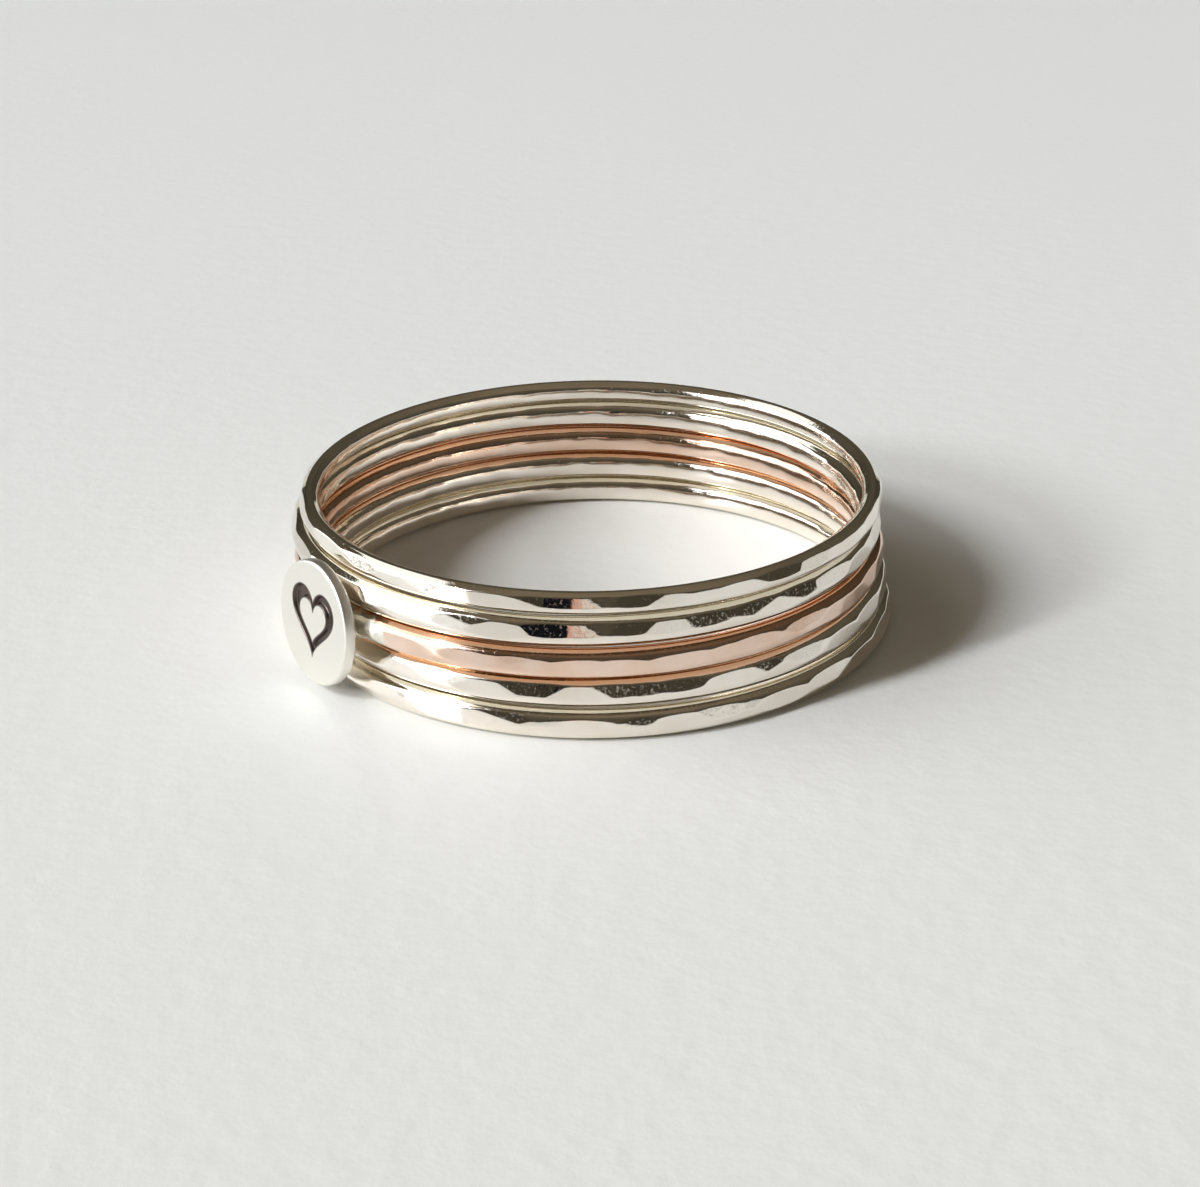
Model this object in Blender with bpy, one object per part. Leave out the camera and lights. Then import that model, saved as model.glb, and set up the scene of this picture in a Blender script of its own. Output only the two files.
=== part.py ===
"""A stacked finger ring: four hammered silver bands and a rose gold one that carries a stamped disc.

It lies on its side, as a ring does when it is put down, with the finger hole upright.
Metres, +Z up. The origin is where the hole's axis meets the surface that the lowest band rests on.
"""

import math
import random
from collections import namedtuple

import bmesh
import bpy
from mathutils import Matrix, Vector

# The finger hole and the two wires, as they stand in the stack
FINGER_DIAMETER = 0.01775
WIRE_HEIGHT = 0.00096
WIRE_THICKNESS = 0.00084
TOP_WIRE_HEIGHT = 0.00072
TOP_WIRE_THICKNESS = 0.00066
BAND_GAP = 0.00004
BAND_PLAY = 0.00020

# The marks of the hammer's flat face on the outer side of each band
MARKS_ROUND_BAND = 40
MARK_SCATTER_SHARE = 0.35  # how far a mark strays from its even place, as a share of the spacing
MARK_DEPTH_LEAST = 0.000010
MARK_DEPTH_MOST = 0.000040
MARK_LEAN_SPREAD_DEG = 11
MARK_TURN_DEG = 3
MARK_NEAR_COSINE = 0.8  # a mark that faces further away from a section than this doesn't reach it

# The disc, its stamped heart and the solder that holds it to the rose gold band
DISC_DIAMETER = 0.0040
DISC_THICKNESS = 0.0004
DISC_EDGE_ROUNDING = 0.00010
DISC_STANDOFF = 0.00028
DISC_ROUND_RING_DEG = -145.8
DISC_TILT_DEG = 4.8
DISC_TURN_DEG = 2.0
DISC_ABOVE_BAND = -0.00023
HEART_HEIGHT = 0.0022
HEART_DEPTH = 0.00012
SOLDER_REACH_DEG = 16
SOLDER_HEIGHT = 0.00080
SOLDER_SINK = 0.00012

# How finely the round forms are divided
STATIONS = 96
DISC_SIDES = 40
DISC_EDGE_STEPS = 2
HEART_POINTS = 28
SOLDER_SIDES = 10
SOLDER_STATIONS = 10
SHARP_ANGLE_DEG = 30

# The section's corners, as directions from its middle: 0 points away from the finger, 90 points up.
# Most lie on the hammered side. The pairs by 90 and 270 are the ends of the flats that touch.
SECTION_DIRECTIONS_DEG = (-78, -52, -28, -8, 12, 32, 54, 78, 102, 140, 180, 220, 258)
SECTION_SQUARENESS = 2.05  # 2 would be an ellipse
WORN_FLAT_SHARE = 0.04  # how much of the round wire's height the flats above and below take off

# The heart's line is cut between its outline and a smaller copy of it
HEART_INNER_SHARE = 0.66
HEART_FORM_HEIGHT = 29.0  # height of the heart that heart_outline's formula draws
HEART_FORM_RISE = 2.5  # brings its middle to the disc's middle

Metal = namedtuple("Metal", "name colour roughness")
SILVER = Metal("sterling silver", (0.91, 0.90, 0.87), 0.12)
ROSE_GOLD = Metal("rose gold", (0.90, 0.66, 0.55), 0.14)

# A row for each band, from the lowest up. wider, east and north are shares of BAND_PLAY: how much
# larger its hole is than the finger, and where it has slid to. lean_deg is how far up its marks face
# on the whole, as they do where a band is hammered on a tapered ring stick.
Band = namedtuple("Band", "name metal height thickness wider east north lean_deg seed")
BANDS = (
    Band("bottom_silver_band", SILVER, WIRE_HEIGHT, WIRE_THICKNESS, 0.5, 0.8, 0.0, 10, 11),
    Band("lower_silver_band", SILVER, WIRE_HEIGHT, WIRE_THICKNESS, 0.0, 0.4, 0.1, 13, 23),
    Band("rose_gold_disc_band", ROSE_GOLD, WIRE_HEIGHT, WIRE_THICKNESS, 0.0, -0.4, -0.3, 3, 37),
    Band("upper_silver_band", SILVER, WIRE_HEIGHT, WIRE_THICKNESS, -0.2, -0.8, 0.0, 13, 41),
    Band("top_silver_band", SILVER, TOP_WIRE_HEIGHT, TOP_WIRE_THICKNESS, 0.0, 0.0, 0.0, 13, 59),
)
DISC_BAND = "rose_gold_disc_band"

# A hammered plane: its outward normal, and its distance from the middle of the ring
Mark = namedtuple("Mark", "normal distance")


def clear_scene():
    """Takes away whatever the file opened with."""
    for thing in list(bpy.data.objects):
        bpy.data.objects.remove(thing)


def metal_material(metal):
    """A plain polished metal."""
    material = bpy.data.materials.new(metal.name)
    material.use_nodes = True
    shader = material.node_tree.nodes["Principled BSDF"]
    shader.inputs["Base Color"].default_value = (*metal.colour, 1.0)
    shader.inputs["Metallic"].default_value = 1.0
    shader.inputs["Roughness"].default_value = metal.roughness
    return material


def new_object(name, bm, parent=None):
    """Turns a bmesh into a named object."""
    bmesh.ops.recalc_face_normals(bm, faces=bm.faces)
    mesh = bpy.data.meshes.new(name)
    bm.to_mesh(mesh)
    bm.free()
    thing = bpy.data.objects.new(name, mesh)
    thing.parent = parent
    bpy.context.scene.collection.objects.link(thing)
    return thing


def middle_radius(band):
    """From the band's own axis to the middle of its wire."""
    hole_radius = FINGER_DIAMETER / 2 + band.wider * BAND_PLAY
    return hole_radius + band.thickness / 2


def round_wire_reach(band, direction):
    """How far the plain wire reaches from its middle in a direction, before hammering."""
    power = SECTION_SQUARENESS
    across = abs(math.cos(direction)) / (band.thickness / 2)
    up = abs(math.sin(direction)) / (band.height / 2 * (1 + WORN_FLAT_SHARE))
    reach = (across**power + up**power) ** (-1 / power)
    rise = abs(math.sin(direction))
    if reach * rise > band.height / 2:
        reach = band.height / 2 / rise
    return reach


def hammer_marks(band):
    """Flat marks in a row round the band's outer side, each a plane set a little into the wire."""
    chance = random.Random(band.seed)
    middle = middle_radius(band)
    marks = []
    for index in range(MARKS_ROUND_BAND):
        astray = chance.uniform(-MARK_SCATTER_SHARE, MARK_SCATTER_SHARE)
        place = (index + astray) * math.tau / MARKS_ROUND_BAND
        lean_apart = chance.uniform(-MARK_LEAN_SPREAD_DEG, MARK_LEAN_SPREAD_DEG)
        lean = math.radians(band.lean_deg + lean_apart)
        turn = math.radians(chance.uniform(-MARK_TURN_DEG, MARK_TURN_DEG))
        depth = chance.uniform(MARK_DEPTH_LEAST, MARK_DEPTH_MOST)
        facing = place + turn
        level = math.cos(lean)
        normal = Vector((level * math.cos(facing), level * math.sin(facing), math.sin(lean)))
        wire_middle = Vector((middle * math.cos(place), middle * math.sin(place), 0))
        # An ellipse's reach along a normal, which is near enough for the outer side
        proud = math.hypot(band.thickness / 2 * level, band.height / 2 * math.sin(lean))
        marks.append(Mark(normal, normal.dot(wire_middle) + proud - depth))
    return marks


def hammered_reach(band, marks, wire_middle, outward, direction):
    """How far the hammered wire reaches from its middle in a direction of one section."""
    ray = outward * math.cos(direction) + Vector((0, 0, math.sin(direction)))
    reach = round_wire_reach(band, direction)
    for mark in marks:
        slope = mark.normal.dot(ray)
        if slope > 0:
            reach = min(reach, (mark.distance - mark.normal.dot(wire_middle)) / slope)
    return reach


def band_object(band, height, parent):
    """One band, its wire's middle at the given height above the surface."""
    marks = hammer_marks(band)
    middle = middle_radius(band)
    bm = bmesh.new()
    sections = []
    for station in range(STATIONS):
        angle = station * math.tau / STATIONS
        outward = Vector((math.cos(angle), math.sin(angle), 0))
        wire_middle = outward * middle
        near = [mark for mark in marks if mark.normal.dot(outward) > MARK_NEAR_COSINE]
        section = []
        for degrees in SECTION_DIRECTIONS_DEG:
            direction = math.radians(degrees)
            reach = hammered_reach(band, near, wire_middle, outward, direction)
            ray = outward * math.cos(direction) + Vector((0, 0, math.sin(direction)))
            section.append(bm.verts.new(wire_middle + ray * reach))
        sections.append(section)
    corners = len(SECTION_DIRECTIONS_DEG)
    for station in range(STATIONS):
        here = sections[station]
        ahead = sections[(station + 1) % STATIONS]
        for corner in range(corners):
            after = (corner + 1) % corners
            bm.faces.new((here[corner], ahead[corner], ahead[after], here[after]))
    thing = new_object(band.name, bm, parent)
    thing.location = (band.east * BAND_PLAY, band.north * BAND_PLAY, height)
    thing.data.materials.append(metal_material(band.metal))
    return thing


def disc_frame(band):
    """The middle of the disc's back, in the band's own frame: +Z out of its face, +Y up its face."""
    round_ring = math.radians(DISC_ROUND_RING_DEG)
    facing = math.radians(DISC_ROUND_RING_DEG + DISC_TURN_DEG)
    tilt = math.radians(DISC_TILT_DEG)
    reach = middle_radius(band) + band.thickness / 2 + DISC_STANDOFF
    place = Vector((reach * math.cos(round_ring), reach * math.sin(round_ring), DISC_ABOVE_BAND))
    out = Vector(
        (math.cos(tilt) * math.cos(facing), math.cos(tilt) * math.sin(facing), math.sin(tilt))
    )
    right = Vector((0, 0, 1)).cross(out).normalized()
    up = out.cross(right)
    turn = Matrix((right, up, out)).transposed().to_4x4()
    return Matrix.Translation(place) @ turn


def disc_tool(frame):
    """The round blank, with its sawn edges rubbed over."""
    bm = bmesh.new()
    bmesh.ops.create_cone(
        bm,
        cap_ends=True,
        segments=DISC_SIDES,
        radius1=DISC_DIAMETER / 2,
        radius2=DISC_DIAMETER / 2,
        depth=DISC_THICKNESS,
        matrix=frame @ Matrix.Translation((0, 0, DISC_THICKNESS / 2)),
    )
    caps = [face for face in bm.faces if len(face.verts) > 4]
    rims = list({edge for face in caps for edge in face.edges})
    bmesh.ops.bevel(
        bm,
        geom=rims,
        offset=DISC_EDGE_ROUNDING,
        segments=DISC_EDGE_STEPS,
        profile=0.5,
        affect="EDGES",
    )
    return bm


def heart_outline(share):
    """The heart's outline round its own middle, drawn at a share of its size."""
    scale = share * HEART_HEIGHT / HEART_FORM_HEIGHT
    points = []
    for index in range(HEART_POINTS):
        t = (index + 0.5) * math.tau / HEART_POINTS
        across = 16 * math.sin(t) ** 3
        up = 13 * math.cos(t) - 5 * math.cos(2 * t) - 2 * math.cos(3 * t) - math.cos(4 * t)
        points.append((across * scale, (up + HEART_FORM_RISE) * scale))
    return points


def heart_tool(frame):
    """What the stamp sinks into the disc's face: a heart drawn in one line."""
    bm = bmesh.new()
    low = DISC_THICKNESS - HEART_DEPTH
    high = DISC_THICKNESS + HEART_DEPTH
    loops = []
    for share, level in ((1, low), (1, high), (HEART_INNER_SHARE, high), (HEART_INNER_SHARE, low)):
        outline = heart_outline(share)
        loops.append([bm.verts.new(frame @ Vector((x, y, level))) for x, y in outline])
    for here, ahead in zip(loops, loops[1:] + loops[:1]):
        for index in range(HEART_POINTS):
            after = (index + 1) % HEART_POINTS
            bm.faces.new((here[index], here[after], ahead[after], ahead[index]))
    return bm


def solder_tool(band):
    """Solder that has run along the band under the disc and fills the space to the disc's back."""
    bm = bmesh.new()
    seat = middle_radius(band) + band.thickness / 2
    loops = []
    for station in range(SOLDER_STATIONS):
        share = 2 * (station + 0.5) / SOLDER_STATIONS - 1
        bulk = math.sqrt(1 - share * share)
        angle = math.radians(DISC_ROUND_RING_DEG + share * SOLDER_REACH_DEG)
        outward = Vector((math.cos(angle), math.sin(angle), 0))
        proud = bulk * (DISC_STANDOFF + SOLDER_SINK)
        middle = outward * (seat + (proud - SOLDER_SINK) / 2)
        loop = []
        for side in range(SOLDER_SIDES):
            turn = side * math.tau / SOLDER_SIDES
            out = outward * math.cos(turn) * (proud + SOLDER_SINK) / 2
            up = Vector((0, 0, math.sin(turn) * bulk * SOLDER_HEIGHT / 2))
            loop.append(bm.verts.new(middle + out + up))
        loops.append(loop)
    for here, ahead in zip(loops, loops[1:]):
        for side in range(SOLDER_SIDES):
            after = (side + 1) % SOLDER_SIDES
            bm.faces.new((here[side], here[after], ahead[after], ahead[side]))
    bm.faces.new(loops[0])
    bm.faces.new(loops[-1])
    return bm


def add_tool(target, name, bm, operation):
    """Joins a shape to the target, or cuts it out, and keeps the shape as a wire guide."""
    tool = new_object(name, bm, target)
    tool.hide_render = True
    tool.display_type = "WIRE"
    step = target.modifiers.new(name, "BOOLEAN")
    step.object = tool
    step.operation = operation
    step.solver = "EXACT"


def solder_disc_to(thing, band):
    """Solder, disc and band become one piece of metal, and the disc is stamped."""
    frame = disc_frame(band)
    add_tool(thing, "solder_tool", solder_tool(band), "UNION")
    add_tool(thing, "disc_tool", disc_tool(frame), "UNION")
    add_tool(thing, "heart_tool", heart_tool(frame), "DIFFERENCE")


def shade(thing):
    """Round metal is smooth, and only the disc's and the hammer's edges stay crisp."""
    thing.data.shade_smooth()
    thing.data.set_sharp_from_angle(angle=math.radians(SHARP_ANGLE_DEG))


def build_ring():
    """Stacks the bands from the surface up."""
    stack = bpy.data.objects.new("ring_stack", None)
    bpy.context.scene.collection.objects.link(stack)
    top = 0.0
    for band in BANDS:
        thing = band_object(band, top + band.height / 2, stack)
        if band.name == DISC_BAND:
            solder_disc_to(thing, band)
        shade(thing)
        top += band.height + BAND_GAP


clear_scene()
build_ring()
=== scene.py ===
"""The looks of a stacked finger ring: hammered silver and rose gold bands with a stamped disc.

It lies on a plain pale floor in soft light. Metres, +Z up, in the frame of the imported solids.
"""

import math
import random
from collections import namedtuple

import bpy
import numpy as np
from mathutils import Matrix, Vector


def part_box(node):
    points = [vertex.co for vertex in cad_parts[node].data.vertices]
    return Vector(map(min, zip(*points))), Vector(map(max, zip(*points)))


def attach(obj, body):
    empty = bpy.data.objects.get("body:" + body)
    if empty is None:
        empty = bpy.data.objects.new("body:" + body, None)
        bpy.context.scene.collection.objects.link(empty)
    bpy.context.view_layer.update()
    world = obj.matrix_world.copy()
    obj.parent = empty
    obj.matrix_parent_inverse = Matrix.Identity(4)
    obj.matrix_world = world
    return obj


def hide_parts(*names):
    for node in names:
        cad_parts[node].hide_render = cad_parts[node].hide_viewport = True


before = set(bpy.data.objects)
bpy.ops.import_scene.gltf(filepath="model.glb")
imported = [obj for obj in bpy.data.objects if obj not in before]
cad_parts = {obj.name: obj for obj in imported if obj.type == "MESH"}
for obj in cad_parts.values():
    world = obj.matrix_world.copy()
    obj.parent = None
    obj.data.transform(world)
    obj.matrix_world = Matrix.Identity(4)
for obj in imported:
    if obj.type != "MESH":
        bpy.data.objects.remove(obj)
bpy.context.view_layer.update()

MM = 0.001
TINY = 1e-9  # keeps a divisor from being zero

# The finger hole and the wires
FINGER_DIAMETER = 17.75 * MM
WIRE_HEIGHT = 0.96 * MM
WIRE_THICKNESS = 0.84 * MM
TOP_WIRE_HEIGHT = 0.72 * MM
TOP_WIRE_THICKNESS = 0.66 * MM
BAND_PLAY = 0.20 * MM
SECTION_SQUARENESS = 2.05  # the power in the section's outline, and 2 would be an ellipse
WORN_FLAT_SHARE = 0.012  # less than on the plain solid, so that light gets into the grooves
EDGE_RUB_DEG = 57  # the bands have rubbed small bevels on each other, this far up and down
EDGE_RUB_DEPTH = 0.011 * MM
INNER_SQUARENESS = 2.15  # the inner side was pressed flat against the ring stick
INNER_LEAN_DEG = -4  # how far it tips on the whole
INNER_WOBBLE_DEG = 12  # how much further the hammer's blows have tipped it from place to place
INNER_WAVES = (5, 9, 14, 22, 37, 58)  # that wobble is a sum of this many waves round the band
INNER_WAVES_DIVIDED_BY = 3

# The marks of the hammer's flat face. The first pass is the one that the plain solid has too. The
# second leaves marks too fine for it. scatter is how far a mark strays from its even place, as a
# share of their spacing. It leans up or down and turns sideways by up to so many degrees more.
Hammering = namedtuple("Hammering", "marks scatter lean_spread_deg turn_deg depth_least depth_most")
FIRST_PASS = Hammering(40, 0.35, 11, 3, 0.010 * MM, 0.040 * MM)
SECOND_PASS = Hammering(26, 0.4, 5, 2, 0.028 * MM, 0.060 * MM)
SECOND_PASS_LEAN_DEG = {
    "bottom_silver_band": 14,
    "lower_silver_band": 18,
    "rose_gold_disc_band": 1,
    "upper_silver_band": 20,
    "top_silver_band": 19,
}
MARK_REACH_DEG = 20  # further round the band than this no mark can cut
CREASE_ROUNDING = 0.012 * MM  # polishing has rounded the edges between the marks

# The metals' fine texture, by the real size of its patches. A span is the part of the noise, or of
# a point's own value, over which one look turns into the other.
GROOVE_FROM = 0.6  # the wire is tarnished, with painted shade added, from this far up or down its side, 1 being its very edge
CLOUD_SIZE = 1.6 * MM  # of the faint tones in the polished metal
CLOUD_SPAN = (0.35, 0.60)
CLOTH_MARK_SIZE = 0.25 * MM
CLOTH_MARK_DEPTH = 0.006 * MM
PIT_SIZE = 0.09 * MM
PIT_SPAN = (0.50, 0.80)
PIT_ROUGHNESS = 0.30
SATIN_GRAIN_SIZE = 0.08 * MM
SATIN_GRAIN_DEPTH = 0.006 * MM
SATIN_ROUGHNESS = (0.30, 0.42)
PATINA_SPAN = (0.10, 0.85)
SOLDER_SKIN_SIZE = 0.15 * MM
SOLDER_SKIN_DEPTH = 0.01 * MM
SOLDER_ROUGHNESS = (0.12, 0.30)

# How finely a band is divided: along its length, and around its wire
BAND_STATIONS = 1200
OUTER_STEPS = 48
INNER_STEPS = 22

# The disc, its stamp and its solder
DISC_DIAMETER = 4.0 * MM
DISC_THICKNESS = 0.4 * MM
DISC_EDGE_ROUNDING = 0.10 * MM
DISC_STANDOFF = 0.28 * MM
DISC_ROUND_RING_DEG = -145.8
DISC_TILT_DEG = 4.8
DISC_TURN_DEG = 2.0
DISC_ABOVE_BAND = -0.23 * MM
HEART_HEIGHT = 2.2 * MM
HEART_DEPTH = 0.12 * MM
HEART_INNER_SHARE = 0.66
HEART_FORM_HEIGHT = 29.0  # height of the heart that heart_outline's formula draws
HEART_FORM_DROP = 2.5  # how far below zero the middle of that heart lies
HEART_WALL = 0.07 * MM
PATINA_SPREAD = 0.06 * MM
DISC_SIDES = 320
DISC_FACE_RINGS = 110
DISC_EDGE_STEPS = 8
DISC_BACK_SHARES = (0.9, 0.6, 0.3)  # of the flat's radius, for the rings on its back
SOLDER_REACH_DEG = 16  # along the band, to both sides of the disc's middle
SOLDER_MOUND_DEG = 32  # round the wire, for the mound that holds the disc
SOLDER_COAT = 0.05 * MM
SOLDER_COAT_WRAP = 0.8  # below 1 the coat reaches further round the wire
SOLDER_COAT_SUNK = 0.45  # the share that sinks it into the wire where it ends
SOLDER_LUMP = 0.012 * MM
SOLDER_LONG_WAVES = (17, 5)  # of the lumps, along the band and round the wire
SOLDER_SHORT_WAVES = (31, 3)
SOLDER_STATIONS = 160
SOLDER_STEPS = 64

# Camera, measured from the photo's outlines
PHOTO_WIDTH_PX = 1200
CAMERA_FOCAL_PX = 2352
CAMERA_PLACE = Vector((0.0, -71.72 * MM, 33.35 * MM))
CAMERA_AIM = Vector((0.26 * MM, 0.95 * MM, 0.0))
CAMERA_ROLL_DEG = -0.75
SENSOR_WIDTH = 36.0  # Blender's own sensor, in millimetres

# The floor is plain, and runs on far past the camera's view
FLOOR_HALF = 1.0
CARD_FIBRE_SIZE = 0.9 * MM
CARD_RELIEF = 0.07 * MM

# The room that the metal mirrors: colours by height, from the horizon to straight up. The lowest
# belongs to the pale floor, which goes on past the modelled part.
PALE_HORIZON = "#D6D6D2"
ROOM_TONES = (
    (0.080, PALE_HORIZON),
    (0.090, "#3A362D"),
    (0.26, "#454036"),
    (0.40, "#4C473C"),
    (0.63, "#534D41"),
    (0.76, "#5E5548"),
    (0.86, "#6A6051"),
)
ROOM_OVERHEAD = "#756A59"
ROOM_UNEVEN = 0.16  # how much its things stand out from the tones above
ROOM_THINGS_SCALE = 5.0
ROOM_THINGS_SPAN = (0.3, 0.7)

# Things by the camera that single marks mirror, seen from the ring in degrees. edge is how wide
# the soft edge round the spot is.
RoomSpot = namedtuple("RoomSpot", "azimuth elevation radius edge colour")
ROOM_SPOTS = (
    RoomSpot(-99.25, 9, 6.0, 0.1, "#C99A89"),
    RoomSpot(-103.0, 9, 5.5, 0.3, "#14161A"),
    RoomSpot(-89.25, 9, 4.0, 0.1, "#CFC8C0"),
)

# The soft lights. Their places, widths, heights and leans are degrees seen from the ring.
Panel = namedtuple("Panel", "name azimuth elevation wide high lean radiance")
PANELS = (
    Panel("upper strip", -153.7, 39.5, 4.0, 15, -8, 99),
    Panel("lower strip", -148.3, 24, 4.0, 8, 5, 130),
    Panel("window", 183, 34, 60, 25, 0, 2.22),
    Panel("low window", 182, 15, 76, 26, 0, 1.65),
    Panel("high window", 170, 53, 62, 18, 0, 1.2),
)
PANEL_DISTANCE = 2.0
PANEL_COLOUR = "#F6FAFE"

# wider, east and north are shares of BAND_PLAY: how much larger a band's hole is than the finger,
# and where it has slid to. lean_deg is how far up its marks face on the whole.
Band = namedtuple("Band", "node slot height thickness wider east north lean_deg seed")
BANDS = (
    Band("bottom_silver_band", "silver", WIRE_HEIGHT, WIRE_THICKNESS, 0.5, 0.8, 0.0, 10, 11),
    Band("lower_silver_band", "silver", WIRE_HEIGHT, WIRE_THICKNESS, 0.0, 0.4, 0.1, 13, 23),
    Band("rose_gold_disc_band", "rose_gold", WIRE_HEIGHT, WIRE_THICKNESS, 0.0, -0.4, -0.3, 3, 37),
    Band("upper_silver_band", "silver", WIRE_HEIGHT, WIRE_THICKNESS, -0.2, -0.8, 0.0, 13, 41),
    Band("top_silver_band", "silver", TOP_WIRE_HEIGHT, TOP_WIRE_THICKNESS, 0.0, 0.0, 0.0, 13, 59),
)

# Single hard blows that stand out in the photo: where they fell round the ring, how far up their
# marks face, and how deep these are
HardBlow = namedtuple("HardBlow", "node place_deg lean_deg depth")
HARD_BLOWS = (
    HardBlow("top_silver_band", -116, 6, 0.055 * MM),
    HardBlow("top_silver_band", -109, 8, 0.055 * MM),
    HardBlow("top_silver_band", -95.2, 17, 0.050 * MM),
    HardBlow("top_silver_band", -91.5, 17, 0.050 * MM),
    HardBlow("top_silver_band", -88.0, 22, 0.046 * MM),
    HardBlow("top_silver_band", -77, 10, 0.050 * MM),
    HardBlow("top_silver_band", -62, 8, 0.050 * MM),
    HardBlow("top_silver_band", -44, 18, 0.056 * MM),
    HardBlow("top_silver_band", -33, 5, 0.060 * MM),
    HardBlow("top_silver_band", -21, 17, 0.060 * MM),
    HardBlow("top_silver_band", -11, 4, 0.060 * MM),
    HardBlow("upper_silver_band", -106.5, 6, 0.064 * MM),
    HardBlow("upper_silver_band", -96.5, 17, 0.058 * MM),
    HardBlow("upper_silver_band", -91.5, 17, 0.054 * MM),
    HardBlow("upper_silver_band", -88.0, 22, 0.048 * MM),
    HardBlow("upper_silver_band", -82.5, 20, 0.050 * MM),
    HardBlow("upper_silver_band", -75.5, 12, 0.050 * MM),
    HardBlow("upper_silver_band", -68.5, 17, 0.052 * MM),
    HardBlow("upper_silver_band", -53, 6, 0.060 * MM),
    HardBlow("upper_silver_band", -38, 19, 0.062 * MM),
    HardBlow("upper_silver_band", -27, 4, 0.066 * MM),
    HardBlow("upper_silver_band", -15, 18, 0.066 * MM),
    HardBlow("rose_gold_disc_band", -59, 13, 0.050 * MM),
    HardBlow("rose_gold_disc_band", -46, 18, 0.056 * MM),
    HardBlow("rose_gold_disc_band", -34, 2, 0.062 * MM),
    HardBlow("rose_gold_disc_band", -22, 14, 0.060 * MM),
    HardBlow("lower_silver_band", -110.5, 4, 0.064 * MM),
    HardBlow("lower_silver_band", -103.5, 18, 0.048 * MM),
    HardBlow("lower_silver_band", -99.5, 18, 0.054 * MM),
    HardBlow("lower_silver_band", -93.2, 7, 0.066 * MM),
    HardBlow("lower_silver_band", -87.0, 18, 0.048 * MM),
    HardBlow("lower_silver_band", -82.0, 17, 0.044 * MM),
    HardBlow("lower_silver_band", -64, 8, 0.064 * MM),
    HardBlow("lower_silver_band", -48, 18, 0.058 * MM),
    HardBlow("lower_silver_band", -37, 4, 0.066 * MM),
    HardBlow("lower_silver_band", -25, 17, 0.062 * MM),
    HardBlow("lower_silver_band", -13, 5, 0.066 * MM),
    HardBlow("bottom_silver_band", -118.5, 3, 0.066 * MM),
    HardBlow("bottom_silver_band", -111.5, 3, 0.074 * MM),
    HardBlow("bottom_silver_band", -93.0, 3, 0.055 * MM),
    HardBlow("bottom_silver_band", -75, 6, 0.055 * MM),
    HardBlow("bottom_silver_band", -68, 17, 0.050 * MM),
    HardBlow("bottom_silver_band", -55, 4, 0.058 * MM),
    HardBlow("bottom_silver_band", -42, 16, 0.060 * MM),
    HardBlow("bottom_silver_band", -31, 3, 0.066 * MM),
    HardBlow("bottom_silver_band", -19, 17, 0.062 * MM),
)
HARD_BLOW_CLEARS_DEG = 3.5  # how far to both sides a blow has beaten out the marks there


def linear(hex_colour):
    """An sRGB hex colour as the linear RGBA that shaders take."""
    channels = [int(hex_colour[i : i + 2], 16) / 255 for i in (1, 3, 5)]
    lit = [c / 12.92 if c <= 0.04045 else ((c + 0.055) / 1.055) ** 2.4 for c in channels]
    return (*lit, 1.0)


def direction_of(azimuth, elevation):
    """The direction at an azimuth from +X and an elevation, both in radians."""
    level = math.cos(elevation)
    return level * math.cos(azimuth), level * math.sin(azimuth), math.sin(elevation)


def turn_from(other, angle):
    """The turn from one angle to another by the shorter way."""
    return (angle - other + math.pi) % math.tau - math.pi


def add_node(tree, kind, settings=None, links=None):
    """Adds a shader node. Settings are its own properties or its sockets' values, by name."""
    node = tree.nodes.new(kind)
    for name, value in (settings or {}).items():
        if name in node.inputs:
            node.inputs[name].default_value = value
        else:
            setattr(node, name, value)
    for name, source in (links or {}).items():
        tree.links.new(source, node.inputs[name])
    return node


def new_material(name):
    """An empty material with its Principled shader and its tree."""
    material = bpy.data.materials.new(name)
    material.use_nodes = True
    tree = material.node_tree
    return material, tree, tree.nodes["Principled BSDF"]


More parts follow.
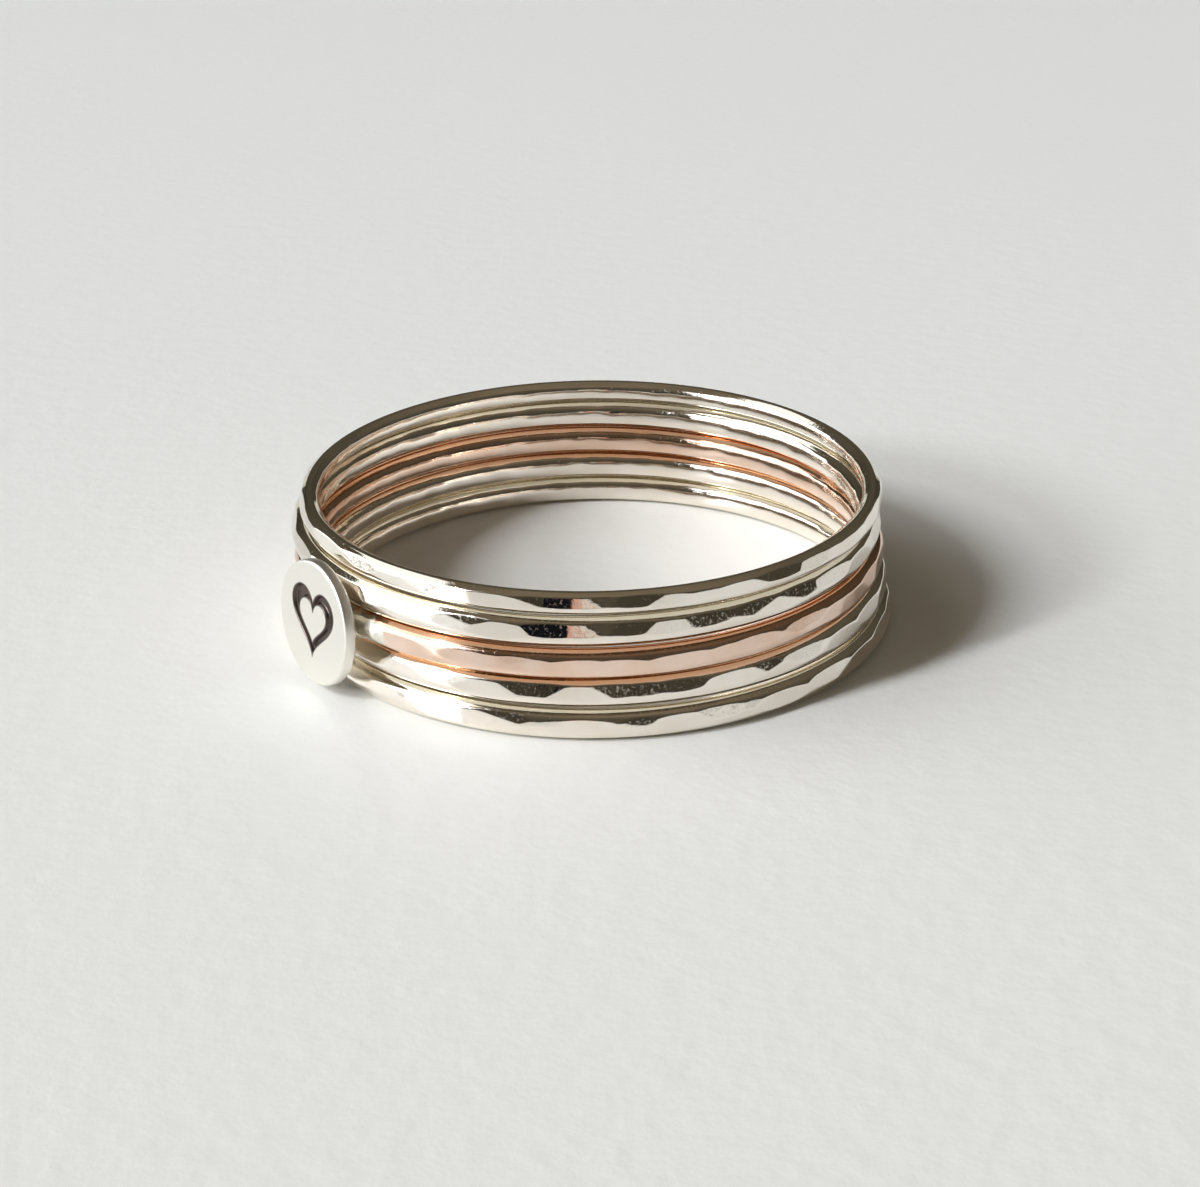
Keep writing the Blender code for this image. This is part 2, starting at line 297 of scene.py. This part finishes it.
def hammered_metal(name, bright, deep, tarnish_and_shade, roughness):
    """Polished hammered wire, a little tarnished in the grooves, where no cloth gets, with painted
    shade added there.

    It mirrors the lights and the dark room, so each mark is wholly bright or wholly dark. Its
    faint clouding and coarse pits keep a large mark from looking like one even tone.
    """
    material, tree, shader = new_material(name)
    shader.inputs["Metallic"].default_value = 1.0
    place = add_node(tree, "ShaderNodeTexCoord").outputs["Object"]
    clouding = add_node(
        tree, "ShaderNodeTexNoise", {"Scale": 1 / CLOUD_SIZE, "Detail": 3.0}, {"Vector": place}
    )
    tone = add_node(tree, "ShaderNodeValToRGB", links={"Fac": clouding.outputs["Fac"]})
    for stop, position, colour in zip(tone.color_ramp.elements, CLOUD_SPAN, (deep, bright)):
        stop.position, stop.color = position, linear(colour)
    groove = add_node(tree, "ShaderNodeAttribute", {"attribute_name": "groove"})
    # painted shade: where the bands touch, the colour is darkened and warmed as well as tarnished
    tarnished_and_shaded = add_node(
        tree,
        "ShaderNodeMix",
        {"data_type": "RGBA", "B": linear(tarnish_and_shade)},
        {"A": tone.outputs["Color"], "Factor": groove.outputs["Fac"]},
    )
    tree.links.new(tarnished_and_shaded.outputs["Result"], shader.inputs["Base Color"])
    pits = add_node(
        tree, "ShaderNodeTexNoise", {"Scale": 1 / PIT_SIZE, "Detail": 3.0}, {"Vector": place}
    )
    polish = add_node(
        tree,
        "ShaderNodeMapRange",
        {
            "From Min": PIT_SPAN[0],
            "From Max": PIT_SPAN[1],
            "To Min": roughness,
            "To Max": PIT_ROUGHNESS,
        },
        {"Value": pits.outputs["Fac"]},
    )
    tree.links.new(polish.outputs["Result"], shader.inputs["Roughness"])
    cloth = add_node(
        tree, "ShaderNodeTexNoise", {"Scale": 1 / CLOTH_MARK_SIZE, "Detail": 4.0}, {"Vector": place}
    )
    bump = add_node(
        tree,
        "ShaderNodeBump",
        {"Strength": 0.5, "Distance": CLOTH_MARK_DEPTH},
        {"Height": cloth.outputs["Fac"]},
    )
    tree.links.new(bump.outputs["Normal"], shader.inputs["Normal"])
    return material


def satin_disc_metal():
    """Silver rubbed with fine abrasive, and black patina left in the stamp.

    The rubbing scatters the light, so the disc is an even pale grey from all sides, with no mirror
    image in it, and the stamped line is dark with soft edges.
    """
    material, tree, shader = new_material("satin silver with blackened stamp")
    shader.inputs["Metallic"].default_value = 1.0
    place = add_node(tree, "ShaderNodeTexCoord").outputs["Object"]
    grain = add_node(
        tree,
        "ShaderNodeTexNoise",
        {"Scale": 1 / SATIN_GRAIN_SIZE, "Detail": 5.0},
        {"Vector": place},
    )
    kept = add_node(tree, "ShaderNodeAttribute", {"attribute_name": "patina"})
    patina = add_node(tree, "ShaderNodeValToRGB", links={"Fac": kept.outputs["Fac"]})
    for stop, position, colour in zip(
        patina.color_ramp.elements, PATINA_SPAN, ("#F0EDE5", "#5C524D")
    ):
        stop.position, stop.color = position, linear(colour)
    tree.links.new(patina.outputs["Color"], shader.inputs["Base Color"])
    rough = add_node(
        tree,
        "ShaderNodeMapRange",
        {"To Min": SATIN_ROUGHNESS[0], "To Max": SATIN_ROUGHNESS[1]},
        {"Value": grain.outputs["Fac"]},
    )
    tree.links.new(rough.outputs["Result"], shader.inputs["Roughness"])
    bump = add_node(
        tree,
        "ShaderNodeBump",
        {"Strength": 0.3, "Distance": SATIN_GRAIN_DEPTH},
        {"Height": grain.outputs["Fac"]},
    )
    tree.links.new(bump.outputs["Normal"], shader.inputs["Normal"])
    return material


def solder_metal():
    """Silver solder as it froze, never polished: slightly grey, with a soft and uneven shine."""
    material, tree, shader = new_material("silver solder")
    shader.inputs["Metallic"].default_value = 1.0
    shader.inputs["Base Color"].default_value = linear("#DEDACE")
    place = add_node(tree, "ShaderNodeTexCoord").outputs["Object"]
    skin = add_node(
        tree,
        "ShaderNodeTexNoise",
        {"Scale": 1 / SOLDER_SKIN_SIZE, "Detail": 4.0},
        {"Vector": place},
    )
    rough = add_node(
        tree,
        "ShaderNodeMapRange",
        {"To Min": SOLDER_ROUGHNESS[0], "To Max": SOLDER_ROUGHNESS[1]},
        {"Value": skin.outputs["Fac"]},
    )
    tree.links.new(rough.outputs["Result"], shader.inputs["Roughness"])
    bump = add_node(
        tree,
        "ShaderNodeBump",
        {"Strength": 0.5, "Distance": SOLDER_SKIN_DEPTH},
        {"Height": skin.outputs["Fac"]},
    )
    tree.links.new(bump.outputs["Normal"], shader.inputs["Normal"])
    return material


def floor_card():
    """Uncoated white card, pressed smooth in the mill.

    Its fibres scatter most of the light. At a low angle it still has a faint glare towards the
    lights, which the left faces of the bands mirror, and a fuzz that lightens its far side.
    """
    material, tree, shader = new_material("uncoated white card")
    shader.inputs["Base Color"].default_value = linear("#E9E8E4")
    shader.inputs["Roughness"].default_value = 0.36
    shader.inputs["Specular IOR Level"].default_value = 0.14
    shader.inputs["Sheen Weight"].default_value = 0.45
    shader.inputs["Sheen Roughness"].default_value = 0.5
    place = add_node(tree, "ShaderNodeTexCoord").outputs["Object"]
    fibres = add_node(
        tree, "ShaderNodeTexNoise", {"Scale": 1 / CARD_FIBRE_SIZE, "Detail": 8.0}, {"Vector": place}
    )
    bump = add_node(
        tree,
        "ShaderNodeBump",
        {"Strength": 0.5, "Distance": CARD_RELIEF},
        {"Height": fibres.outputs["Fac"]},
    )
    tree.links.new(bump.outputs["Normal"], shader.inputs["Normal"])
    return material


def mesh_object(name, points, faces, material):
    """A smooth shaded mesh from an array of points."""
    mesh = bpy.data.meshes.new(name)
    mesh.from_pydata([tuple(p) for p in points], [], faces)
    mesh.validate()
    mesh.shade_smooth()
    mesh.materials.append(material)
    thing = bpy.data.objects.new(name, mesh)
    bpy.context.scene.collection.objects.link(thing)
    return thing


def give_values(thing, name, values):
    """Gives each point of a mesh a value that its material reads by name."""
    layer = thing.data.attributes.new(name, "FLOAT", "POINT")
    layer.data.foreach_set("value", values)


def grid_faces(rows, columns, close_rows):
    """Faces of a grid of points whose columns close on themselves, and its rows too if asked."""
    faces = []
    for row in range(rows if close_rows else rows - 1):
        ahead = (row + 1) % rows
        for column in range(columns):
            after = (column + 1) % columns
            faces.append(
                (
                    row * columns + column,
                    ahead * columns + column,
                    ahead * columns + after,
                    row * columns + after,
                )
            )
    return faces


def middle_radius(band):
    """From the band's own axis to the middle of its wire."""
    return FINGER_DIAMETER / 2 + band.wider * BAND_PLAY + band.thickness / 2


def band_middle(band):
    """The middle of the band's hole, halfway up its wire."""
    low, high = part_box(band.node)
    if band.node == "rose_gold_disc_band":
        below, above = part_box("lower_silver_band"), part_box("upper_silver_band")
        height = (below[1][2] + above[0][2]) / 2
    else:
        height = (low[2] + high[2]) / 2
    return np.array((band.east * BAND_PLAY, band.north * BAND_PLAY, height))


def mark_plane(band, place, turn, lean, depth):
    """A hammered plane, as (place, normal, distance from the middle of the ring)."""
    middle = middle_radius(band)
    normal = np.array(direction_of(place + turn, lean))
    wire_middle = np.array((middle * math.cos(place), middle * math.sin(place), 0.0))
    proud = math.hypot(band.thickness / 2 * math.cos(lean), band.height / 2 * math.sin(lean))
    return place, normal, normal @ wire_middle + proud - depth


def one_pass(band, chance, hammering, lean_deg):
    """The marks of one pass with the hammer, each a little out of its even place."""
    marks = []
    for index in range(hammering.marks):
        astray = chance.uniform(-hammering.scatter, hammering.scatter)
        place = (index + astray) * math.tau / hammering.marks
        lean_apart = chance.uniform(-hammering.lean_spread_deg, hammering.lean_spread_deg)
        turn_deg = chance.uniform(-hammering.turn_deg, hammering.turn_deg)
        depth = chance.uniform(hammering.depth_least, hammering.depth_most)
        lean = math.radians(lean_deg + lean_apart)
        marks.append(mark_plane(band, place, math.radians(turn_deg), lean, depth))
    return marks


def hammer_marks(band):
    """Flat marks round the band's outer side: those of the plain solid, and then the finer ones.

    Where a hard blow has fallen, it takes the place of the marks that were there.
    """
    chance = random.Random(band.seed)
    marks = one_pass(band, chance, FIRST_PASS, band.lean_deg)
    marks += one_pass(band, chance, SECOND_PASS, SECOND_PASS_LEAN_DEG[band.node])
    blows = [blow for blow in HARD_BLOWS if blow.node == band.node]
    cleared = math.radians(HARD_BLOW_CLEARS_DEG)
    for blow in blows:
        spot = math.radians(blow.place_deg)
        marks = [mark for mark in marks if abs(turn_from(spot, mark[0])) > cleared]
    for blow in blows:
        place, lean = math.radians(blow.place_deg), math.radians(blow.lean_deg)
        marks.append(mark_plane(band, place, 0, lean, blow.depth))
    return marks


def inner_rock(band, angles):
    """How the inner side tips up and down along the band, where the blows have pushed it."""
    chance = random.Random(band.seed + 1)
    rock = np.zeros(len(angles))
    for waves in INNER_WAVES:
        rock += np.sin(waves * angles + chance.uniform(0, math.tau)) / INNER_WAVES_DIVIDED_BY
    return rock


def wire_reach(band, angles, directions):
    """How far the wire reaches from its middle before the hammer's marks are cut.

    A row for each angle round the band. The section is nearly an ellipse, flatter on its inner
    side. It loses small bevels where the bands rub on each other, and flats where the band rests
    on the next one and where it sits on the finger.
    """
    out, rise = np.abs(np.cos(directions)), np.abs(np.sin(directions))
    inner = np.clip(-np.cos(directions), 0, 1)
    rock = inner_rock(band, angles)[:, None]
    tipped = directions + np.radians(INNER_WOBBLE_DEG * rock + INNER_LEAN_DEG) * inner
    power = SECTION_SQUARENESS + (INNER_SQUARENESS - SECTION_SQUARENESS) * (inner > 0)
    across = np.abs(np.cos(tipped)) / (band.thickness / 2)
    up = np.abs(np.sin(tipped)) / (band.height / 2 * (1 + WORN_FLAT_SHARE))
    section = (across**power + up**power) ** (-1 / power)
    edge = math.radians(EDGE_RUB_DEG)
    to_edge = math.hypot(band.thickness / 2 * math.cos(edge), band.height / 2 * math.sin(edge))
    bevel = (to_edge - EDGE_RUB_DEPTH) / (out * math.cos(edge) + rise * math.sin(edge))
    rest = band.height / 2 / np.maximum(rise, TINY)
    finger = band.thickness / 2 / np.maximum(-np.cos(directions), TINY)
    return np.minimum(np.minimum(section, bevel), np.minimum(rest, finger))


def outward(angles):
    """Level directions out from the ring's axis, a row for each angle."""
    return np.stack((np.cos(angles), np.sin(angles), np.zeros(len(angles))), axis=1)


def hammered_reach(band, angles, directions):
    """How far the hammered wire reaches, a row for each angle round the band.

    Near a crease between two marks the lower one is rounded off smoothly into the other.
    """
    middle = middle_radius(band)
    reach = wire_reach(band, angles, directions)
    out = outward(angles)
    for place, normal, distance in hammer_marks(band):
        near = np.abs(turn_from(place, angles)) < math.radians(MARK_REACH_DEG)
        faced = (out[near] @ normal)[:, None]
        slope = faced * np.cos(directions) + normal[2] * np.sin(directions)
        cut = np.where(slope > TINY, (distance - middle * faced) / np.maximum(slope, TINY), np.inf)
        blend = np.clip(1 - np.abs(reach[near] - cut) / CREASE_ROUNDING, 0, 1)
        reach[near] = np.minimum(reach[near], cut) - blend**2 * CREASE_ROUNDING / 4
    return reach


def wire_directions():
    """Directions round the wire, most of them on the hammered side."""
    outer = np.linspace(-math.pi / 2, math.pi / 2, OUTER_STEPS, endpoint=False)
    inner = np.linspace(math.pi / 2, 3 * math.pi / 2, INNER_STEPS, endpoint=False)
    return np.concatenate((outer, inner))


def ring_points(band, angles, directions, reach):
    """Points on the wire, from how far it reaches in each direction."""
    radius = middle_radius(band) + reach * np.cos(directions)
    points = outward(angles)[:, None, :] * radius[:, :, None]
    points[:, :, 2] = reach * np.sin(directions)
    return (points + band_middle(band)).reshape(-1, 3)


def hammered_band(band, material):
    """One band in full detail, in place of its plain solid."""
    angles = np.arange(BAND_STATIONS) * math.tau / BAND_STATIONS
    directions = wire_directions()
    reach = hammered_reach(band, angles, directions)
    points = ring_points(band, angles, directions, reach)
    faces = grid_faces(len(angles), len(directions), True)
    thing = mesh_object(band.node + "_hammered", points, faces, material)
    # mask for the tarnish and painted shade, strongest at the wire's top and bottom where the bands
    # touch
    groove = np.clip((np.abs(np.sin(directions)) - GROOVE_FROM) / (1 - GROOVE_FROM), 0, 1)
    give_values(thing, "groove", np.tile(groove, len(angles)))
    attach(thing, "root")
    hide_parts(band.node)


def disc_frame(band):
    """The middle of the disc's back: +Z out of its face, +Y up its face."""
    round_ring = math.radians(DISC_ROUND_RING_DEG)
    facing = math.radians(DISC_ROUND_RING_DEG + DISC_TURN_DEG)
    tilt = math.radians(DISC_TILT_DEG)
    reach = middle_radius(band) + band.thickness / 2 + DISC_STANDOFF
    place = Vector((reach * math.cos(round_ring), reach * math.sin(round_ring), DISC_ABOVE_BAND))
    place += Vector(band_middle(band))
    out = Vector(direction_of(facing, tilt))
    right = Vector((0, 0, 1)).cross(out).normalized()
    up = out.cross(right)
    return Matrix.Translation(place) @ Matrix((right, up, out)).transposed().to_4x4()


def heart_outline(share, count=160):
    """The heart's outline round its own middle, drawn at a share of its size."""
    scale = share * HEART_HEIGHT / HEART_FORM_HEIGHT
    t = (np.arange(count) + 0.5) * math.tau / count
    across = 16 * np.sin(t) ** 3
    up = 13 * np.cos(t) - 5 * np.cos(2 * t) - 2 * np.cos(3 * t) - np.cos(4 * t)
    return np.stack((across, up + HEART_FORM_DROP), axis=1) * scale


def distance_to(outline, points):
    """Distance of each point from a closed outline."""
    nearest = np.full(len(points), np.inf)
    for start, end in zip(outline, np.roll(outline, -1, axis=0)):
        run = end - start
        share = np.clip((points - start) @ run / (run @ run), 0, 1)
        nearest = np.minimum(nearest, np.linalg.norm(points - start - share[:, None] * run, axis=1))
    return nearest


def inside(outline, points):
    """Which points lie inside a closed outline."""
    crossings = np.zeros(len(points), dtype=int)
    for start, end in zip(outline, np.roll(outline, -1, axis=0)):
        spans = (start[1] > points[:, 1]) != (end[1] > points[:, 1])
        rise = (end[1] - start[1]) or TINY
        at = start[0] + (points[:, 1] - start[1]) * (end[0] - start[0]) / rise
        crossings += spans & (points[:, 0] < at)
    return crossings % 2 == 1


def stamp(points):
    """How deep the stamp has gone in at each point of the face, and how much patina it kept."""
    outer, inner = heart_outline(1), heart_outline(HEART_INNER_SHARE)
    in_line = inside(outer, points) & ~inside(inner, points)
    to_edge = np.minimum(distance_to(outer, points), distance_to(inner, points))
    depth = np.where(in_line, np.clip(to_edge / HEART_WALL, 0, 1), 0.0)
    patina = np.where(in_line, 1.0, np.clip(1 - to_edge / PATINA_SPREAD, 0, 1))
    return depth, patina


def disc_profile():
    """The disc's outline from its middle to its back, as (radius, height): the face comes first."""
    rounding = DISC_EDGE_ROUNDING
    flat = DISC_DIAMETER / 2 - rounding
    turns = [step / DISC_EDGE_STEPS * math.pi / 2 for step in range(DISC_EDGE_STEPS + 1)]
    profile = []
    for ring in range(DISC_FACE_RINGS):
        profile.append((flat * (ring + 1) / DISC_FACE_RINGS, DISC_THICKNESS))
    for turn in turns[1:]:
        height = DISC_THICKNESS - rounding * (1 - math.cos(turn))
        profile.append((flat + rounding * math.sin(turn), height))
    for turn in turns:
        profile.append((flat + rounding * math.cos(turn), rounding * (1 - math.sin(turn))))
    return profile + [(flat * share, 0.0) for share in DISC_BACK_SHARES]


def disc(frame_matrix, material):
    """The satin disc: a stamped face, a rubbed edge and a plain back."""
    rings = np.array(disc_profile())
    sides, on_face = DISC_SIDES, DISC_FACE_RINGS * DISC_SIDES
    angles = np.arange(sides) * math.tau / sides
    flat_points = np.stack(
        (rings[:, :1] * np.cos(angles), rings[:, :1] * np.sin(angles)), axis=2
    ).reshape(-1, 2)
    sunk, patina = stamp(flat_points)
    sunk[on_face:] = 0
    patina[on_face:] = 0
    heights = np.repeat(rings[:, 1], sides) - sunk * HEART_DEPTH
    points = np.column_stack((flat_points, heights))
    faces = grid_faces(len(rings), sides, False)
    centre, back = len(points), len(points) + 1
    points = np.vstack((points, ((0, 0, DISC_THICKNESS), (0, 0, 0))))
    last = (len(rings) - 1) * sides
    for side in range(sides):
        after = (side + 1) % sides
        faces.append((centre, side, after))
        faces.append((back, last + after, last + side))
    turned = points @ np.array(frame_matrix.to_3x3()).T + np.array(frame_matrix.translation)
    thing = mesh_object("stamped_disc", turned, faces, material)
    give_values(thing, "patina", np.concatenate((patina, (0.0, 0.0))))
    return thing


def solder(band, material):
    """Solder that has run along the band under the disc, thinning out to nothing at its ends."""
    shares = np.linspace(-1, 1, SOLDER_STATIONS)
    angles = np.radians(DISC_ROUND_RING_DEG + shares * SOLDER_REACH_DEG)
    directions = np.arange(SOLDER_STEPS) * math.tau / SOLDER_STEPS
    facing = turn_from(0, directions)
    bulk = np.sqrt(np.clip(1 - shares**2, 0, 1))[:, None]
    mound = DISC_STANDOFF * bulk**2 * np.exp(-((facing / math.radians(SOLDER_MOUND_DEG)) ** 2))
    coat = SOLDER_COAT * (bulk * np.cos(facing * SOLDER_COAT_WRAP) - SOLDER_COAT_SUNK)
    along, around = SOLDER_LONG_WAVES
    lumps = np.sin(shares * along)[:, None] * np.sin(facing * around)
    along, around = SOLDER_SHORT_WAVES
    lumps = SOLDER_LUMP * (lumps + np.sin(shares * along + 1)[:, None] * np.cos(facing * around))
    reach = hammered_reach(band, angles, directions) + mound + coat + lumps * bulk
    points = ring_points(band, angles, directions, reach)
    faces = grid_faces(SOLDER_STATIONS, SOLDER_STEPS, False)
    faces.append(tuple(range(SOLDER_STEPS)))
    faces.append(tuple(range(len(points) - 1, len(points) - SOLDER_STEPS - 1, -1)))
    return mesh_object("solder", points, faces, material)


def pale_floor(material):
    """The plain pale floor."""
    half = FLOOR_HALF
    corners = [(-half, -half, 0), (half, -half, 0), (half, half, 0), (-half, half, 0)]
    floor = mesh_object("pale_floor", corners, [(0, 1, 2, 3)], material)


def with_room_spot(tree, direction, colour, spot):
    """The room's colour with a round spot of another colour in it."""
    toward = direction_of(math.radians(spot.azimuth), math.radians(spot.elevation))
    # both inputs are called Vector, so they go by number
    apart = add_node(tree, "ShaderNodeVectorMath", {"operation": "DOT_PRODUCT"}, {0: direction})
    apart.inputs[1].default_value = toward
    share = add_node(
        tree,
        "ShaderNodeMapRange",
        {
            "From Min": math.cos(math.radians(spot.radius + spot.edge)),
            "From Max": math.cos(math.radians(spot.radius)),
        },
        {"Value": apart.outputs["Value"]},
    )
    mixed = add_node(
        tree,
        "ShaderNodeMix",
        {"data_type": "RGBA", "B": linear(spot.colour)},
        {"A": colour, "Factor": share.outputs["Result"]},
    )
    return mixed.outputs["Result"]


def room_light():
    """A dim warm room, as the upper side of the metal mirrors it."""
    world = bpy.data.worlds.new("dim room")
    world.use_nodes = True
    bpy.context.scene.world = world
    tree = world.node_tree
    background = tree.nodes["Background"]
    direction = add_node(tree, "ShaderNodeTexCoord").outputs["Generated"]
    parts = add_node(tree, "ShaderNodeSeparateXYZ", links={"Vector": direction})
    ramp = add_node(tree, "ShaderNodeValToRGB", links={"Fac": parts.outputs["Z"]})
    stops = ramp.color_ramp.elements
    stops[0].position, stops[0].color = 0.0, linear(PALE_HORIZON)
    stops[1].position, stops[1].color = 1.0, linear(ROOM_OVERHEAD)
    for position, colour in ROOM_TONES:
        stops.new(position).color = linear(colour)
    colour = ramp.outputs["Color"]
    for spot in ROOM_SPOTS:
        colour = with_room_spot(tree, direction, colour, spot)
    tree.links.new(colour, background.inputs["Color"])
    things = add_node(
        tree,
        "ShaderNodeTexNoise",
        {"Scale": ROOM_THINGS_SCALE, "Detail": 4.0},
        {"Vector": direction},
    )
    uneven = add_node(
        tree,
        "ShaderNodeMapRange",
        {
            "From Min": ROOM_THINGS_SPAN[0],
            "From Max": ROOM_THINGS_SPAN[1],
            "To Min": 1 - ROOM_UNEVEN,
            "To Max": 1 + ROOM_UNEVEN,
        },
        {"Value": things.outputs["Fac"]},
    )
    tree.links.new(uneven.outputs["Result"], background.inputs["Strength"])


def soft_panel(panel):
    """A flat soft light that faces the ring. Its power follows from its size and radiance."""
    width = 2 * PANEL_DISTANCE * math.tan(math.radians(panel.wide / 2))
    height = 2 * PANEL_DISTANCE * math.tan(math.radians(panel.high / 2))
    lamp = bpy.data.lights.new(panel.name, "AREA")
    lamp.shape = "RECTANGLE"
    lamp.size = width
    lamp.size_y = height
    lamp.energy = panel.radiance * math.pi * width * height
    lamp.color = linear(PANEL_COLOUR)[:3]
    thing = bpy.data.objects.new(panel.name, lamp)
    toward = Vector(direction_of(math.radians(panel.azimuth), math.radians(panel.elevation)))
    thing.location = PANEL_DISTANCE * toward
    upright = (-toward).to_track_quat("-Z", "Y").to_matrix()
    lean = Matrix.Rotation(math.radians(panel.lean), 3, "Z")
    thing.rotation_euler = (upright @ lean).to_euler()
    thing.visible_camera = False
    bpy.context.scene.collection.objects.link(thing)


def studio_light():
    """Soft light from the left: two bright strips towards the front, and wide dim panels beside."""
    for panel in PANELS:
        soft_panel(panel)


def photo_camera():
    """The photo's view, from about 25 degrees above the floor."""
    lens = bpy.data.cameras.new("camera")
    lens.sensor_width = SENSOR_WIDTH
    lens.lens = CAMERA_FOCAL_PX / PHOTO_WIDTH_PX * SENSOR_WIDTH
    lens.clip_start = 1 * MM
    lens.clip_end = 10.0
    camera = bpy.data.objects.new("camera", lens)
    look = (CAMERA_AIM - CAMERA_PLACE).to_track_quat("-Z", "Y").to_matrix()
    roll = Matrix.Rotation(math.radians(CAMERA_ROLL_DEG), 3, "Z")
    camera.matrix_world = Matrix.Translation(CAMERA_PLACE) @ (look @ roll).to_4x4()
    bpy.context.scene.collection.objects.link(camera)
    bpy.context.scene.camera = camera


def build_scene():
    """Makes every piece, the light and the camera."""
    # tarnish is the grooves' colour: real tarnish darkened further as painted shade between the
    # bands, most on the rose gold
    metals = {
        "silver": hammered_metal(
            "hammered sterling silver",
            bright="#F9F2E9",
            deep="#F2EADE",
            tarnish_and_shade="#EEE8D9",
            roughness=0.03,
        ),
        "rose_gold": hammered_metal(
            "hammered rose gold",
            bright="#F2D9C9",
            deep="#EACBB5",
            tarnish_and_shade="#DCA682",
            roughness=0.035,
        ),
    }
    for band in BANDS:
        hammered_band(band, metals[band.slot])
        if band.node == "rose_gold_disc_band":
            for piece in (
                disc(disc_frame(band), satin_disc_metal()),
                solder(band, solder_metal()),
            ):
                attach(piece, "root")
                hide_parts(band.node)
    pale_floor(floor_card())
    room_light()
    studio_light()
    photo_camera()
    scene = bpy.context.scene
    scene.view_settings.view_transform = "Standard"
    # The bright metal mirrors itself again and again in the grooves
    scene.cycles.max_bounces = 16
    scene.cycles.glossy_bounces = 14


build_scene()
